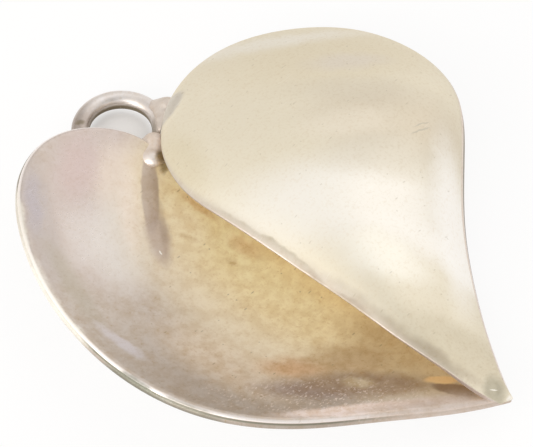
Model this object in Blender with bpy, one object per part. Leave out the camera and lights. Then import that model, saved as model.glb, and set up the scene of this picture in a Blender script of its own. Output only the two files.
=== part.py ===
"""A heart pendant made of two sheets of silver: a dished back sheet and a domed front shell.

The shell covers the right half of the heart and is soldered down along its outer edge. Its other
edge swings free from the cleft to the tip, over the dish. A closed wire ring behind the cleft
carries the pendant on its chain. The heart lies on its back: +Z is the front, +Y is the cleft,
and the origin is the middle of its footprint, at the level that it rests on.
"""

import math

import bmesh
import bpy
import numpy as np
from mathutils import Matrix, Vector

MM = 0.001

# Sizes of the heart in plan, measured from the cleft
LENGTH = 38.0 * MM
LEFT_WIDTH = 20.7 * MM
RIGHT_WIDTH = 22.3 * MM
LEFT_LOBE_RISE = 6.5 * MM
RIGHT_LOBE_RISE = 2.8 * MM
DISH_CENTRE_ACROSS = 2.0 * MM
DISH_CENTRE_BELOW = 16.0 * MM

# Heights of the back sheet's underside, at its rim, above the surface that it lies on
LEFT_LOBE_HEIGHT = 4.8 * MM
LEFT_RIM_HEIGHT = 5.1 * MM
LOWER_LEFT_HEIGHT = 3.9 * MM
TIP_HEIGHT = 2.0 * MM
RIGHT_RIM_HEIGHT = 1.6 * MM
RIGHT_LOBE_HEIGHT = 2.6 * MM
FLAT_RADIUS = 5.0 * MM

# The sheets
SHEET = 0.9 * MM
RIM_CROWN = 0.2 * MM
LEDGE = 0.15 * MM
SEAM_RISE = 0.45 * MM
TIP_THINNING = 0.1 * MM
SOLDER_FILM = 0.25 * MM

# The front shell's free edge and dome
EDGE_OVERHANG = 4.1 * MM
EDGE_HEIGHT = 7.2 * MM
EDGE_SHEET = 0.5 * MM
DOME_RISE = 3.0 * MM

# The hanging ring
WIRE = 1.55 * MM
RING_BORE = 5.25 * MM
RING_ACROSS = 0.4 * MM
RING_REACH = 4.55 * MM
RING_HEIGHT = 1.03 * MM
RING_TILT = math.radians(4.0)
RING_HEADING = math.radians(-49.4)

# Solder: each lump's middle, from the cleft and the resting level, and its size
CLEFT_LUMP = ((-0.9 * MM, -0.3 * MM, 3.2 * MM), (2.0 * MM, 1.8 * MM, 1.7 * MM))
RIGHT_FILLET = ((4.0 * MM, 3.1 * MM, 1.8 * MM), (2.4 * MM, 2.4 * MM, 2.2 * MM))
LEFT_FILLET = ((-1.5 * MM, 2.1 * MM, 2.1 * MM), (2.2 * MM, 2.0 * MM, 1.8 * MM))
TIP_LUMP_SIZE = (1.6 * MM, 2.6 * MM, 1.4 * MM)
TIP_LUMP_OUT = 0.3 * MM
SEAM_WIRE = 0.2 * MM
SEAM_GAP = 0.1 * MM

# Plan curves, as shares: across is a share of the half width (or of the free edge's overhang), and
# along is a share of the lobe's rise above the cleft, or of the length below it
LEFT_OUTLINE = (
    (0.0, 0.0), (-0.01, 0.17), (-0.028, 0.36), (-0.064, 0.545), (-0.174, 0.846), (-0.357, 1.0),
    (-0.549, 0.822), (-0.743, 0.222), (-0.88, -0.097), (-0.97, -0.277), (-0.983, -0.425),
    (-0.911, -0.585), (-0.712, -0.725), (-0.439, -0.832), (-0.148, -0.948), (0.0, -1.0),
)
RIGHT_OUTLINE = (
    (0.0, 0.0), (0.11, 0.564), (0.274, 0.935), (0.479, 0.85), (0.731, -0.002), (0.924, -0.124),
    (0.978, -0.29), (0.912, -0.413), (0.748, -0.509), (0.526, -0.618), (0.337, -0.736),
    (0.161, -0.867), (0.0, -1.0),
)

# Where along its outline each named rim height stands
LEFT_HEIGHTS = ((0.14, LEFT_LOBE_HEIGHT), (0.46, LEFT_RIM_HEIGHT), (0.8, LOWER_LEFT_HEIGHT))
RIGHT_HEIGHTS = ((0.62, RIGHT_RIM_HEIGHT), (0.4, RIGHT_RIM_HEIGHT), (0.1, RIGHT_LOBE_HEIGHT))

# The free edge: share of the overhang, share of the length, share of the edge's height
FREE_EDGE = (
    (-0.32, -0.043, 0.7), (-0.6, -0.09, 0.75), (-0.87, -0.172, 0.845), (-0.945, -0.253, 0.94),
    (-0.955, -0.356, 1.0), (-0.93, -0.496, 1.0), (-0.822, -0.628, 0.91), (-0.7, -0.757, 0.764),
    (-0.512, -0.88, 0.583), (-0.41, -0.955, 0.486),
)

# How the dish rises from its flat middle to the rim, and how full the dome's ends are
DISH_POWER = 1.8
DOME_FULLNESS = 1.6
DOME_SQUARENESS = 3

# Where the shell starts and ends along the right rim, and where its free edge meets the left one
SHELL_START = 0.02
SHELL_END = 0.998
EDGE_END = 0.98
TIP_LUMP_SHARE = 0.965
SEAM_START = 0.09
SEAM_END = 0.97
END_SHARE = 0.3
STEEPEST = 1.3
EDGE_TAPER = 0.35

# Facets
LEFT_SPOKES = 50
RIGHT_SPOKES = 44
DISH_RINGS = 9
RIBS = 44
RIB_POINTS = 13
CROWN_POINTS = 3
RING_SEGMENTS = 44
WIRE_SEGMENTS = 14
LUMP_SEGMENTS = 20
LUMP_RINGS = 12
WELD = 0.001 * MM
SHARP_ANGLE = math.radians(40)
LONGEST_MITRE = 1.5


class Curve:
    """The natural cubic spline through a few points, read by a share of its length."""

    def __init__(self, points, knots=None):
        self.points = np.array(points, float)
        if knots is None:
            steps = np.linalg.norm(np.diff(self.points, axis=0), axis=1)
            knots = np.concatenate(([0.0], np.cumsum(steps))) / steps.sum()
        self.knots = np.array(knots, float)
        self.gaps = np.diff(self.knots)
        self.bend = self.second_differences()

    def second_differences(self):
        """How far the spline bends at each point, with straight ends."""
        count = len(self.points)
        system = np.eye(count)
        right = np.zeros_like(self.points)
        for i in range(1, count - 1):
            before, after = self.gaps[i - 1], self.gaps[i]
            system[i, i - 1 : i + 2] = before, 2 * (before + after), after
            ahead = (self.points[i + 1] - self.points[i]) / after
            behind = (self.points[i] - self.points[i - 1]) / before
            right[i] = 6 * (ahead - behind)
        return np.linalg.solve(system, right)

    def __call__(self, shares):
        shares = np.atleast_1d(shares)
        k = np.clip(np.searchsorted(self.knots, shares, side="right") - 1, 0, len(self.gaps) - 1)
        gap = self.gaps[k][:, None]
        to_next = (self.knots[k + 1] - shares)[:, None]
        from_last = (shares - self.knots[k])[:, None]
        cubic = (self.bend[k] * to_next**3 + self.bend[k + 1] * from_last**3) / (6 * gap)
        first = (self.points[k] / gap - self.bend[k] * gap / 6) * to_next
        return cubic + first + (self.points[k + 1] / gap - self.bend[k + 1] * gap / 6) * from_last


def in_plan(shares, width, rise):
    """Turns an outline's shares into plan points."""
    return [(across * width, along * (rise if along > 0 else LENGTH)) for across, along in shares]


LEFT_RIM = Curve(in_plan(LEFT_OUTLINE, LEFT_WIDTH, LEFT_LOBE_RISE))
RIGHT_RIM = Curve(in_plan(RIGHT_OUTLINE, RIGHT_WIDTH, RIGHT_LOBE_RISE))
DISH_CENTRE = np.array((DISH_CENTRE_ACROSS, -DISH_CENTRE_BELOW))


def bearing(spokes):
    """Angles round the dish's centre, anticlockwise from straight down the page."""
    return np.mod(np.arctan2(spokes[:, 0], -spokes[:, 1]), 2 * math.pi)


def steepness_curve():
    """How steeply the dish rises on each bearing, from the named rim heights."""
    marks = [(LEFT_RIM, share, height) for share, height in LEFT_HEIGHTS]
    marks += [(LEFT_RIM, 1.0, TIP_HEIGHT)]
    marks += [(RIGHT_RIM, share, height) for share, height in RIGHT_HEIGHTS]
    found = []
    for rim, share, height in marks:
        spoke = rim(share) - DISH_CENTRE
        reach = np.linalg.norm(spoke) - FLAT_RADIUS
        found.append((bearing(spoke)[0], height / reach**DISH_POWER))
    found.sort()
    turn = 2 * math.pi
    found = [(a - turn, k) for a, k in found[-3:]] + found + [(a + turn, k) for a, k in found[:3]]
    return Curve([(k,) for _, k in found], [a for a, _ in found])


STEEPNESS = steepness_curve()


def dish_height(plan):
    """The height of the back sheet's underside at plan points."""
    spokes = plan - DISH_CENTRE
    reach = np.maximum(np.linalg.norm(spokes, axis=1) - FLAT_RADIUS, 0)
    return STEEPNESS(bearing(spokes))[:, 0] * reach**DISH_POWER


def sheet_top(plan):
    """The height of the back sheet's upper face at plan points."""
    step = SHEET / 9
    slopes = []
    for shift in ((step, 0), (0, step)):
        slopes.append((dish_height(plan + shift) - dish_height(plan - np.array(shift))) / (2 * step))
    return dish_height(plan) + SHEET * np.sqrt(1 + slopes[0] ** 2 + slopes[1] ** 2)


def unit(vectors):
    """Vectors brought to a length of one."""
    return vectors / np.linalg.norm(vectors, axis=-1, keepdims=True)


def rounded(near, far, outward, bulge):
    """The points of a rounded edge between the two faces of a sheet."""
    points = []
    for i in range(1, CROWN_POINTS + 1):
        angle = math.pi * i / (CROWN_POINTS + 1)
        middle = (near + far) / 2 + (near - far) / 2 * math.cos(angle)
        points.append(middle + outward * bulge * math.sin(angle))
    return points


def skin(name, loops):
    """A closed solid over closed loops of points, each loop joined to the next."""
    mesh = bpy.data.meshes.new(name)
    obj = bpy.data.objects.new(name, mesh)
    bpy.context.scene.collection.objects.link(obj)
    bm = bmesh.new()
    verts = [[bm.verts.new(point) for point in loop] for loop in loops]
    for first, second in zip(verts, verts[1:]):
        for i in range(len(first)):
            bm.faces.new((first[i - 1], first[i], second[i], second[i - 1]))
    for end in (0, -1):
        if np.ptp(loops[end], axis=0)[:2].max() > 0:
            bm.faces.new(verts[end])
    bmesh.ops.remove_doubles(bm, verts=bm.verts, dist=WELD)
    bmesh.ops.dissolve_degenerate(bm, edges=bm.edges, dist=WELD)
    bmesh.ops.recalc_face_normals(bm, faces=bm.faces)
    bm.to_mesh(mesh)
    bm.free()
    mesh.shade_smooth()
    mesh.set_sharp_from_angle(angle=SHARP_ANGLE)
    return obj


def back_sheet():
    """The whole heart, dished, with a flat middle that it rests on."""
    down = np.arange(LEFT_SPOKES) / LEFT_SPOKES
    up = 1 - np.arange(RIGHT_SPOKES) / RIGHT_SPOKES
    spokes = np.concatenate((LEFT_RIM(down), RIGHT_RIM(up))) - DISH_CENTRE
    flat = FLAT_RADIUS / np.linalg.norm(spokes, axis=1, keepdims=True)
    grid = np.zeros((DISH_RINGS + 1, len(spokes), 3))
    for i, ring in enumerate(grid):
        ring[:, :2] = DISH_CENTRE + spokes * (flat + (1 - flat) * i / DISH_RINGS)
        if i:
            ring[:, 2] = dish_height(ring[:, :2])
    around = np.roll(grid, -1, axis=1) - np.roll(grid, 1, axis=1)
    normals = unit(np.cross(np.gradient(grid, axis=0, edge_order=2), around))
    normals *= np.sign(normals[..., 2:])
    outward = unit(np.cross(around[-1], normals[-1]))
    outward *= np.sign(((grid[-1] - grid[-2]) * outward).sum(axis=1, keepdims=True))
    upper = grid + SHEET * normals
    rim = rounded(grid[-1], upper[-1], outward, RIM_CROWN)
    return skin("back_sheet", list(grid) + rim + list(upper[::-1]))


def seat(shares, inset):
    """Points on the back sheet's upper face, in from the right rim by the inset."""
    step = 0.002
    along = RIGHT_RIM(np.minimum(shares + step, 1)) - RIGHT_RIM(np.maximum(shares - step, 0))
    along /= np.linalg.norm(along, axis=1, keepdims=True)
    inward = np.column_stack((along[:, 1], -along[:, 0]))
    plan = RIGHT_RIM(shares) + inward * inset
    return np.column_stack((plan, sheet_top(plan)))


def seam_points(shares):
    """The shell's outer edge: full thickness at the cleft, a low step after it, thin at the tip."""
    points = seat(SHELL_START + (SHELL_END - SHELL_START) * shares, LEDGE)
    full = SHEET + SOLDER_FILM - SEAM_RISE
    points[:, 2] += SEAM_RISE + full * np.maximum(1 - shares / END_SHARE, 0) ** 2
    points[:, 2] -= TIP_THINNING * np.maximum(1 - (1 - shares) / END_SHARE, 0) ** 2
    return points


def free_edge():
    """The shell's free edge, from its upper corner to where it meets the left rim by the tip."""
    middle = [(a * EDGE_OVERHANG, b * LENGTH, c * EDGE_HEIGHT) for a, b, c in FREE_EDGE]
    corner = LEFT_RIM(EDGE_END)
    end = (*corner[0], sheet_top(corner)[0] + SEAM_RISE - TIP_THINNING)
    return Curve([seam_points(np.zeros(1))[0]] + middle + [end])


FREE_EDGE_CURVE = free_edge()


def dome(along, across):
    """The shell's outer face. across runs from 0, the free edge, to 1, the soldered edge."""
    start = FREE_EDGE_CURVE(along)
    points = start + (seam_points(along) - start) * across[:, None]
    lengthwise = np.sin(math.pi * np.clip(along, 0, 1)) ** DOME_FULLNESS
    points[:, 2] += DOME_RISE * lengthwise * (1 - np.abs(2 * across - 1) ** DOME_SQUARENESS)
    return points


def shell_thickness(top):
    """From the shell's lower face to its outer one: square to the free edge and thinner there."""
    upright = np.array((0.0, 0.0, 1.0))
    normals = np.cross(np.gradient(top, axis=1), np.gradient(top, axis=0))[1:-1]
    normals = unit(normals * np.sign(normals[..., 2:]))
    along = np.linspace(0, 1, len(top))[1:-1, None, None]
    across = np.linspace(0, 1, top.shape[1])[None, :, None]
    steep = upright * np.minimum(1 / normals[..., 2:], STEEPEST)
    square = np.sin(math.pi * along)
    inner = steep + (normals - steep) * (1 - across) ** 2
    thickness = np.broadcast_to(upright, top.shape).copy()
    thickness[1:-1] += (inner - upright) * square
    from_cleft = np.linspace(0, 1, len(top))[:, None, None]
    thinning = np.maximum(1 - across / EDGE_TAPER, 0) ** 2 * np.minimum(from_cleft / END_SHARE, 1)
    return (SHEET + (EDGE_SHEET - SHEET) * thinning) * thickness


def front_shell(sheet_cutter):
    """The domed right half, cut to sit flush on the back sheet."""
    across = np.linspace(0, 1, RIB_POINTS)
    ribs = np.linspace(0, 1, RIBS)
    top = np.array([dome(np.full(RIB_POINTS, share), across) for share in ribs])
    bottom = top - shell_thickness(top)
    loops = []
    for share, upper, lower in zip(ribs, top, bottom):
        seam_side = rounded(upper[-1], lower[-1], np.zeros(3), 0)
        outward = upper[0] - upper[1]
        bulge = RIM_CROWN * math.sin(math.pi * share) / max(np.linalg.norm(outward), RIM_CROWN)
        free_side = rounded(lower[0], upper[0], outward, bulge)
        loops.append(list(upper) + seam_side + list(lower[::-1]) + free_side)
    shell = skin("front_shell", loops)
    cut(shell, sheet_cutter)
    return shell


def grown(source, clearance):
    """A cutter with the shape of an object, larger by the clearance all round."""
    depsgraph = bpy.context.evaluated_depsgraph_get()
    bm = bmesh.new()
    bm.from_object(source, depsgraph)
    bm.normal_update()
    shifts = [vert.normal * min(vert.calc_shell_factor(), LONGEST_MITRE) for vert in bm.verts]
    for vert, shift in zip(bm.verts, shifts):
        vert.co += shift * clearance
    mesh = bpy.data.meshes.new(source.name + "_cutter")
    bm.to_mesh(mesh)
    bm.free()
    cutter = bpy.data.objects.new(source.name + "_cutter", mesh)
    cutter.matrix_world = source.matrix_world
    cutter.hide_render = True
    cutter.display_type = "WIRE"
    bpy.context.scene.collection.objects.link(cutter)
    return cutter


def cut(obj, cutter):
    """Takes a cutter's shape out of an object."""
    modifier = obj.modifiers.new("cut " + cutter.name, "BOOLEAN")
    modifier.operation = "DIFFERENCE"
    modifier.solver = "EXACT"
    modifier.object = cutter


def material(obj, name, colour, roughness):
    """Gives an object its own metal."""
    metal = bpy.data.materials.new(name)
    metal.use_nodes = True
    shader = metal.node_tree.nodes["Principled BSDF"]
    shader.inputs["Base Color"].default_value = (*colour, 1)
    shader.inputs["Metallic"].default_value = 1.0
    shader.inputs["Roughness"].default_value = roughness
    obj.data.materials.append(metal)


def hanging_ring():
    """A closed ring of round wire behind the cleft."""
    bpy.ops.mesh.primitive_torus_add(
        major_radius=(RING_BORE + WIRE) / 2,
        minor_radius=WIRE / 2,
        major_segments=RING_SEGMENTS,
        minor_segments=WIRE_SEGMENTS,
    )
    ring = bpy.context.object
    ring.name = "hanging_ring"
    ring.data.name = "hanging_ring"
    ring.location = (RING_ACROSS, RING_REACH, RING_HEIGHT)
    ring.rotation_euler = (-RING_TILT, 0, RING_HEADING)
    ring.data.shade_smooth()
    bpy.context.view_layer.update()
    return ring


def tip_lump():
    """The middle and size of the tip's solder, in the corner beside the free edge."""
    edge = FREE_EDGE_CURVE(TIP_LUMP_SHARE)
    middle = (edge[0, 0] - TIP_LUMP_OUT, edge[0, 1], sheet_top(edge[:, :2])[0])
    return middle, TIP_LUMP_SIZE


def lump(name, place, neighbours):
    """A lump of solder, with its neighbours' shapes cut out of it."""
    middle, size = place
    bpy.ops.mesh.primitive_uv_sphere_add(
        segments=LUMP_SEGMENTS, ring_count=LUMP_RINGS, radius=0.5, location=middle
    )
    obj = bpy.context.object
    obj.name = name
    obj.data.name = name
    obj.data.transform(Matrix.Diagonal((*size, 1)))
    obj.data.shade_smooth()
    for cutter in neighbours:
        cut(obj, cutter)
    return obj


def seam_solder():
    """The thread of solder in the corner between the rim and the shell."""
    curve = bpy.data.curves.new("seam_solder", "CURVE")
    curve.dimensions = "3D"
    curve.bevel_depth = SEAM_WIRE / 2
    curve.bevel_resolution = 1
    curve.use_fill_caps = True
    path = seat(np.linspace(SEAM_START, SEAM_END, RIGHT_SPOKES * 2), LEDGE - SEAM_WIRE / 2 - SEAM_GAP)
    path[:, 2] += SEAM_WIRE / 2 + SEAM_GAP
    line = curve.splines.new("POLY")
    line.points.add(len(path) - 1)
    for point, place in zip(line.points, path):
        point.co = (*place, 1)
    obj = bpy.data.objects.new("seam_solder", curve)
    bpy.context.scene.collection.objects.link(obj)
    return obj


def middle_of(nodes):
    """The middle of the footprint, at the level that the part rests on."""
    depsgraph = bpy.context.evaluated_depsgraph_get()
    points = []
    for obj in nodes:
        shape = obj.evaluated_get(depsgraph)
        points += [shape.matrix_world @ vert.co for vert in shape.to_mesh().vertices]
    low, high = np.min(points, axis=0), np.max(points, axis=0)
    return Vector(((low[0] + high[0]) / 2, (low[1] + high[1]) / 2, 0))


def build():
    for obj in list(bpy.data.objects):
        bpy.data.objects.remove(obj)

    sheet = back_sheet()
    sheet_cutter = grown(sheet, SOLDER_FILM)
    shell = front_shell(sheet_cutter)
    shell_cutter = grown(shell, SOLDER_FILM)
    ring = hanging_ring()
    ring_cutter = grown(ring, SOLDER_FILM)
    cutters = [sheet_cutter, shell_cutter, ring_cutter]
    seam = seam_solder()
    cleft = lump("cleft_solder", CLEFT_LUMP, cutters)
    tip = lump("tip_solder", tip_lump(), cutters)
    right = lump("ring_solder_right", RIGHT_FILLET, cutters)
    left = lump("ring_solder_left", LEFT_FILLET, cutters)

    material(sheet, "polished_silver", (0.83, 0.77, 0.74), 0.28)
    material(shell, "satin_silver", (0.87, 0.84, 0.74), 0.42)
    material(ring, "wire_silver", (0.74, 0.69, 0.67), 0.3)
    material(seam, "seam_solder", (0.84, 0.82, 0.76), 0.3)
    material(cleft, "cleft_solder", (0.9, 0.87, 0.8), 0.2)
    material(tip, "tip_solder", (0.82, 0.78, 0.72), 0.32)
    material(right, "right_fillet", (0.76, 0.72, 0.69), 0.3)
    material(left, "left_fillet", (0.7, 0.66, 0.63), 0.35)

    nodes = [sheet, shell, ring, seam, cleft, tip, right, left]
    pendant = bpy.data.objects.new("pendant", None)
    bpy.context.scene.collection.objects.link(pendant)
    pendant.location = -middle_of(nodes)
    for obj in nodes + cutters:
        obj.parent = pendant


build()
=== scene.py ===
"""A silver heart pendant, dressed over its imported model, on a pale floor in soft light.

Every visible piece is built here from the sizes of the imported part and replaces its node. Lengths
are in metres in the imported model's frame, and the heart's own curves are drawn from its cleft.
"""

import math

import bmesh
import bpy
import numpy as np
from mathutils import Matrix, Vector

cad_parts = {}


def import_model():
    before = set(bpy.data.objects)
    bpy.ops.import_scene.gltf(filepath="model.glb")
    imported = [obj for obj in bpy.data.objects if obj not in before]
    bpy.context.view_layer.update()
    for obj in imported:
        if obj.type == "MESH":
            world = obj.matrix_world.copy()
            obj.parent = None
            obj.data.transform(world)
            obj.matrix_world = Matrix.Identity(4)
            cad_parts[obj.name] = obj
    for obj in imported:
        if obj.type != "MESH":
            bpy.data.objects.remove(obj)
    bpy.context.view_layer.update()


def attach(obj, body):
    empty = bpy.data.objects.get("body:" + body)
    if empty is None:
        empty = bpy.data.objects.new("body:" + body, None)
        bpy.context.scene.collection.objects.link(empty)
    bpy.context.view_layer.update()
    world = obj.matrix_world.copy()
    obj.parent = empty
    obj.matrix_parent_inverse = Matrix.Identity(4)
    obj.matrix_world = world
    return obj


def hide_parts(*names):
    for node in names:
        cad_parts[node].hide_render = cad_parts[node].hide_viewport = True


MM = 0.001

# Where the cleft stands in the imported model's frame
CLEFT = np.array((-0.7713, 14.6945, 0.0)) * MM

# Sizes of the heart in plan, measured from the cleft
LENGTH = 38.0 * MM
LEFT_WIDTH = 20.7 * MM
RIGHT_WIDTH = 22.3 * MM
LEFT_LOBE_RISE = 6.5 * MM
RIGHT_LOBE_RISE = 2.8 * MM
DISH_CENTRE = np.array((2.0, -16.0)) * MM

# Heights of the back sheet's underside at its rim, and the flat that it rests on
LEFT_LOBE_HEIGHT = 4.8 * MM
LEFT_RIM_HEIGHT = 5.1 * MM
LOWER_LEFT_HEIGHT = 3.9 * MM
TIP_HEIGHT = 2.0 * MM
RIGHT_RIM_HEIGHT = 1.6 * MM
RIGHT_LOBE_HEIGHT = 2.6 * MM
FLAT_RADIUS = 5.0 * MM
FLAT_BLEND = 0.9 * MM

# The sheets, how far and how squarely their cut edges bulge, and the film of solder between them
SHEET = 0.9 * MM
RIM_CROWN = 0.2 * MM
EDGE_SQUARENESS = 0.55
SOLDER_FILM = 0.25 * MM

# The shell's soldered edge: how far in from the rim it sits, how high its face stands there, how
# much lower that is at the tip, and where it starts and ends along the right rim
LEDGE = 0.15 * MM
SEAM_RISE = 0.45 * MM
TIP_THINNING = 0.1 * MM
SHELL_START = 0.02
SHELL_END = 0.998

# The thread of solder outside that edge, and where it starts and ends along the right rim
SEAM_SIZE = 0.32 * MM
SEAM_LIFT = 0.06 * MM
SEAM_START = 0.09
SEAM_END = 0.97

# The front shell's free edge and dome, with the sheet's thickness at that edge
EDGE_OVERHANG = 3.95 * MM
EDGE_HEIGHT = 7.2 * MM
EDGE_SHEET = 0.5 * MM
DOME_RISE = 3.0 * MM

# The hanging ring
WIRE = 1.55 * MM
RING_BORE = 5.25 * MM
RING_PLACE = CLEFT + np.array((0.4, 4.58, 1.03)) * MM
RING_TILT = math.radians(4.0)
RING_HEADING = math.radians(-49.4)

# The painted shade on the wire's inner side: how far round it lies, where it starts and how fast it
# grows
INNER_SHADE_TURN = math.radians(20)
INNER_SHADE_START = 0.76
INNER_SHADE_GROWTH = 0.14

# Plan curves, as shares of the widths, the lobes' rise and the length
LEFT_OUTLINE = (
    (0.0, 0.0), (-0.01, 0.17), (-0.028, 0.36), (-0.064, 0.545), (-0.174, 0.846), (-0.357, 1.0),
    (-0.549, 0.822), (-0.743, 0.222), (-0.88, -0.097), (-0.97, -0.277), (-0.983, -0.425),
    (-0.911, -0.585), (-0.712, -0.725), (-0.439, -0.832), (-0.148, -0.948), (0.0, -1.0),
)
RIGHT_OUTLINE = (
    (0.0, 0.0), (0.11, 0.564), (0.274, 0.935), (0.479, 0.85), (0.731, -0.002), (0.924, -0.124),
    (0.978, -0.29), (0.912, -0.413), (0.748, -0.509), (0.526, -0.618), (0.337, -0.736),
    (0.161, -0.867), (0.0, -1.0),
)
# Heights along each rim, at shares of its length
LEFT_HEIGHTS = ((0.14, LEFT_LOBE_HEIGHT), (0.46, LEFT_RIM_HEIGHT), (0.8, LOWER_LEFT_HEIGHT))
RIGHT_HEIGHTS = ((0.62, RIGHT_RIM_HEIGHT), (0.4, RIGHT_RIM_HEIGHT), (0.1, RIGHT_LOBE_HEIGHT))
# The free edge, as shares of its overhang, of the length and of its height
FREE_EDGE = (
    (-0.32, -0.043, 0.7), (-0.6, -0.09, 0.75), (-0.87, -0.172, 0.845), (-0.945, -0.253, 0.94),
    (-0.955, -0.356, 1.0), (-0.93, -0.496, 1.0), (-0.822, -0.628, 0.91), (-0.7, -0.757, 0.764),
    (-0.512, -0.88, 0.583), (-0.41, -0.955, 0.486),
)
# Marks raised from the shell's face or sunk in it: x and y from the cleft, half length, half width
# and height in millimetres, with the turn in degrees before the height
SHELL_RELIEF = (
    (2.45, 1.1, 2.1, 0.85, 5, 0.16),
    (-0.45, -36.6, 0.8, 0.5, 41, -0.12),
)

# How the dish steepens beyond its flat, and how full and how square the dome is
DISH_POWER = 1.8
DOME_FULLNESS = 1.6
DOME_SQUARENESS = 3

# Where the free edge ends along the left rim, and how far it rises and reaches beyond that place
EDGE_END = 0.98
EDGE_END_RISE = 0.05 * MM
EDGE_END_REACH = np.array((0.05, -0.72)) * MM

# How far the soldered edge reaches beyond the rim at the tip, and over which share of its length
TIP_REACH = np.array((-0.05, -0.6)) * MM
TIP_SHARE = 0.04

# The share of the shell's length in which its edges change near their ends, the share of its
# breadth in which it thins towards the free edge, and how far its slope may thicken it upright
END_SHARE = 0.3
EDGE_TAPER = 0.35
STEEPEST = 1.3

# The camera, at the photograph's viewing angle
CAMERA_AZIMUTH = math.radians(-49.36)
CAMERA_ELEVATION = math.radians(55.0)
CAMERA_DISTANCE = 500 * MM
CAMERA_TARGET = np.array((-0.4117, 3.0645, 2.5)) * MM
SENSOR = 36.0
LENS = 406.9
CLIP_NEAR = 0.01
CLIP_FAR = 10

# The floor: how much of its look is plain white, out in the open and inside the ring, where less
# white is a painted shade, the reach of that painted shade, and the floor's colour where it takes
# light and shade
FLOOR_SIZE = 3
FLOOR_WHITE = 0.88
FLOOR_SHADED = 0.27
SHADE_CORE = 2.2 * MM
SHADE_REACH = 3.4 * MM
FLOOR_COLOUR = (0.9, 0.86, 0.82, 1)

# Soft boxes: name, azimuth and elevation in degrees, distance and size in metres, and watts
SOFT_BOXES = (
    ("key", 85, 42, 0.6, 0.6, 0.35),
    ("low_left", -97, 15, 0.6, 0.45, 2.4),
)
# The studio's tone low down and overhead, and the heights between which it changes
STUDIO_LOW = (0.68, 0.65, 0.62)
STUDIO_HIGH = (0.9, 0.9, 0.9)
STUDIO_HEIGHTS = (0.05, 0.7)
# Lighter and darker parts of the studio: azimuth and elevation, the angles at which each starts to
# fade and has gone, all in degrees, and its tone
STUDIO_PARTS = (
    (78, 25, 15, 60, (1.05, 1.04, 1.03)),
    (-25, 66, 10, 38, (0.5, 0.5, 0.5)),
    (-95, 18, 15, 60, (1.6, 1.58, 1.55)),
)

# The rim's cut edge, from its lower corner to its upper one: how far up, how far out and which
# finish.
# One is polished, lightened as a painted highlight, two is the sawn face, three painted shade in
# its groove
RIM_PROFILE = (
    (0.0, 0.05, 2.0), (0.04, 0.35, 2.0), (0.12, 0.7, 2.0), (0.25, 0.95, 2.0), (0.4, 1.0, 2.0),
    (0.46, 0.98, 2.4), (0.52, 0.9, 3.0), (0.6, 0.8, 3.0), (0.66, 0.88, 2.0), (0.7, 0.9, 1.0),
    (0.78, 0.78, 1.0), (0.87, 0.52, 1.0), (0.94, 0.25, 0.6), (0.98, 0.08, 0.2),
)
# How much of the polished finish the lip takes inside the rim, and how strong the painted shade is
# on the shell's face behind its free edge, going inwards
LIP_WEAR = (0.05, 0.0)
EDGE_SHADE = (1.0, 0.6, 0.15)

# Mesh fineness
LEFT_SPOKES = 170
RIGHT_SPOKES = 150
DISH_RINGS = 60
RIM_POINTS = 9
RIBS = 200
RIB_POINTS = 72
RING_SEGMENTS = 200
WIRE_SEGMENTS = 44
SEAM_POINTS = 12
WELD = 0.0005 * MM
SHARP_ANGLE = math.radians(50)

# The solder's balls, in millimetres: their mesh, the reach that brings out a lone ball at its own
# size, the level of their surface, and how often and how far it is smoothed
SOLDER_GRID = 0.07
SOLDER_REACH = 1.46
SOLDER_LEVEL = 0.3
SOLDER_PASSES = 12
SOLDER_EASE = 0.5

# Noise in the finishes: features for each millimetre, detail and roughness
DRIFT = (0.5, 4.0, 0.6)
FINE = (4.0, 3.0, 0.6)
SCRATCH_LINES = (1.0, 2.0, 0.6)
# The same, with the two values of the noise between which a mark grows from none to full
CLOUDS = (0.9, 5.0, 0.6, 0.66, 0.34)
SPECKS = (1.7, 3.0, 0.6, 0.62, 0.7)
CRUMPLE = (2.6, 4.0, 0.7, 0.53, 0.66)
NICKS = (1.0, 3.0, 0.7, 0.52, 0.66)
CLUSTERS = (1.1, 3.0, 0.6, 0.38, 0.56)
BREAKS = (0.5, 2.0, 0.5, 0.48, 0.6)
# What the fine noise does to the tone and the roughness: its range, and the range that this gives
FINE_SHADE = (0.5, 0.72, 0.0, 0.2)
FINE_ROUGHNESS = (0.3, 0.7, -0.05, 0.07)

# Nicks: their turn in degrees, and the scales along and across them
NICK_STRETCH = (40, 2.6, 4.6)
# Scratches: the scales along and across them, their soft border, and each turn with its rarity
SCRATCH_STRETCH = (0.22, 7.0)
SCRATCH_BORDER = 0.05
SCRATCHES = ((38, 0.66), (-52, 0.69))
# Pits: spacing and size in millimetres, and the share of places with one
PITS = (2.4, 0.09, 0.4)
# Cuts: their turn in degrees and the scale along them, and then what pits have
CUTS = ((40, 0.3, 1.6, 0.07, 0.3), (-12, 0.45, 2.1, 0.07, 0.35))
# How much of a pit's breadth is its full depth
PIT_CORE = 0.4
# How strongly crumpling, scratches and bumps show, and the colours of the marks
CRUMPLE_SHARE = 0.6
SCRATCH_SHARE = 0.3
BUMP_DEPTH = 0.02 * MM
BUMP_STRENGTH = 0.5
TARNISH_TINT = (0.78, 0.68, 0.54)
# The nicks' colour is light, as painted glints on them
NICK_COLOUR = (0.96, 0.86, 0.8)
SCRATCH_COLOUR = (0.98, 0.95, 0.9)
PIT_COLOUR = (0.33, 0.25, 0.14)

# Patches: how many values place one before its finish, how ragged the softest is, in millimetres,
# and how far up and down each goes
PATCH_VALUES = 7
RAGGED = 2
PATCH_DEPTH = 1000


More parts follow.
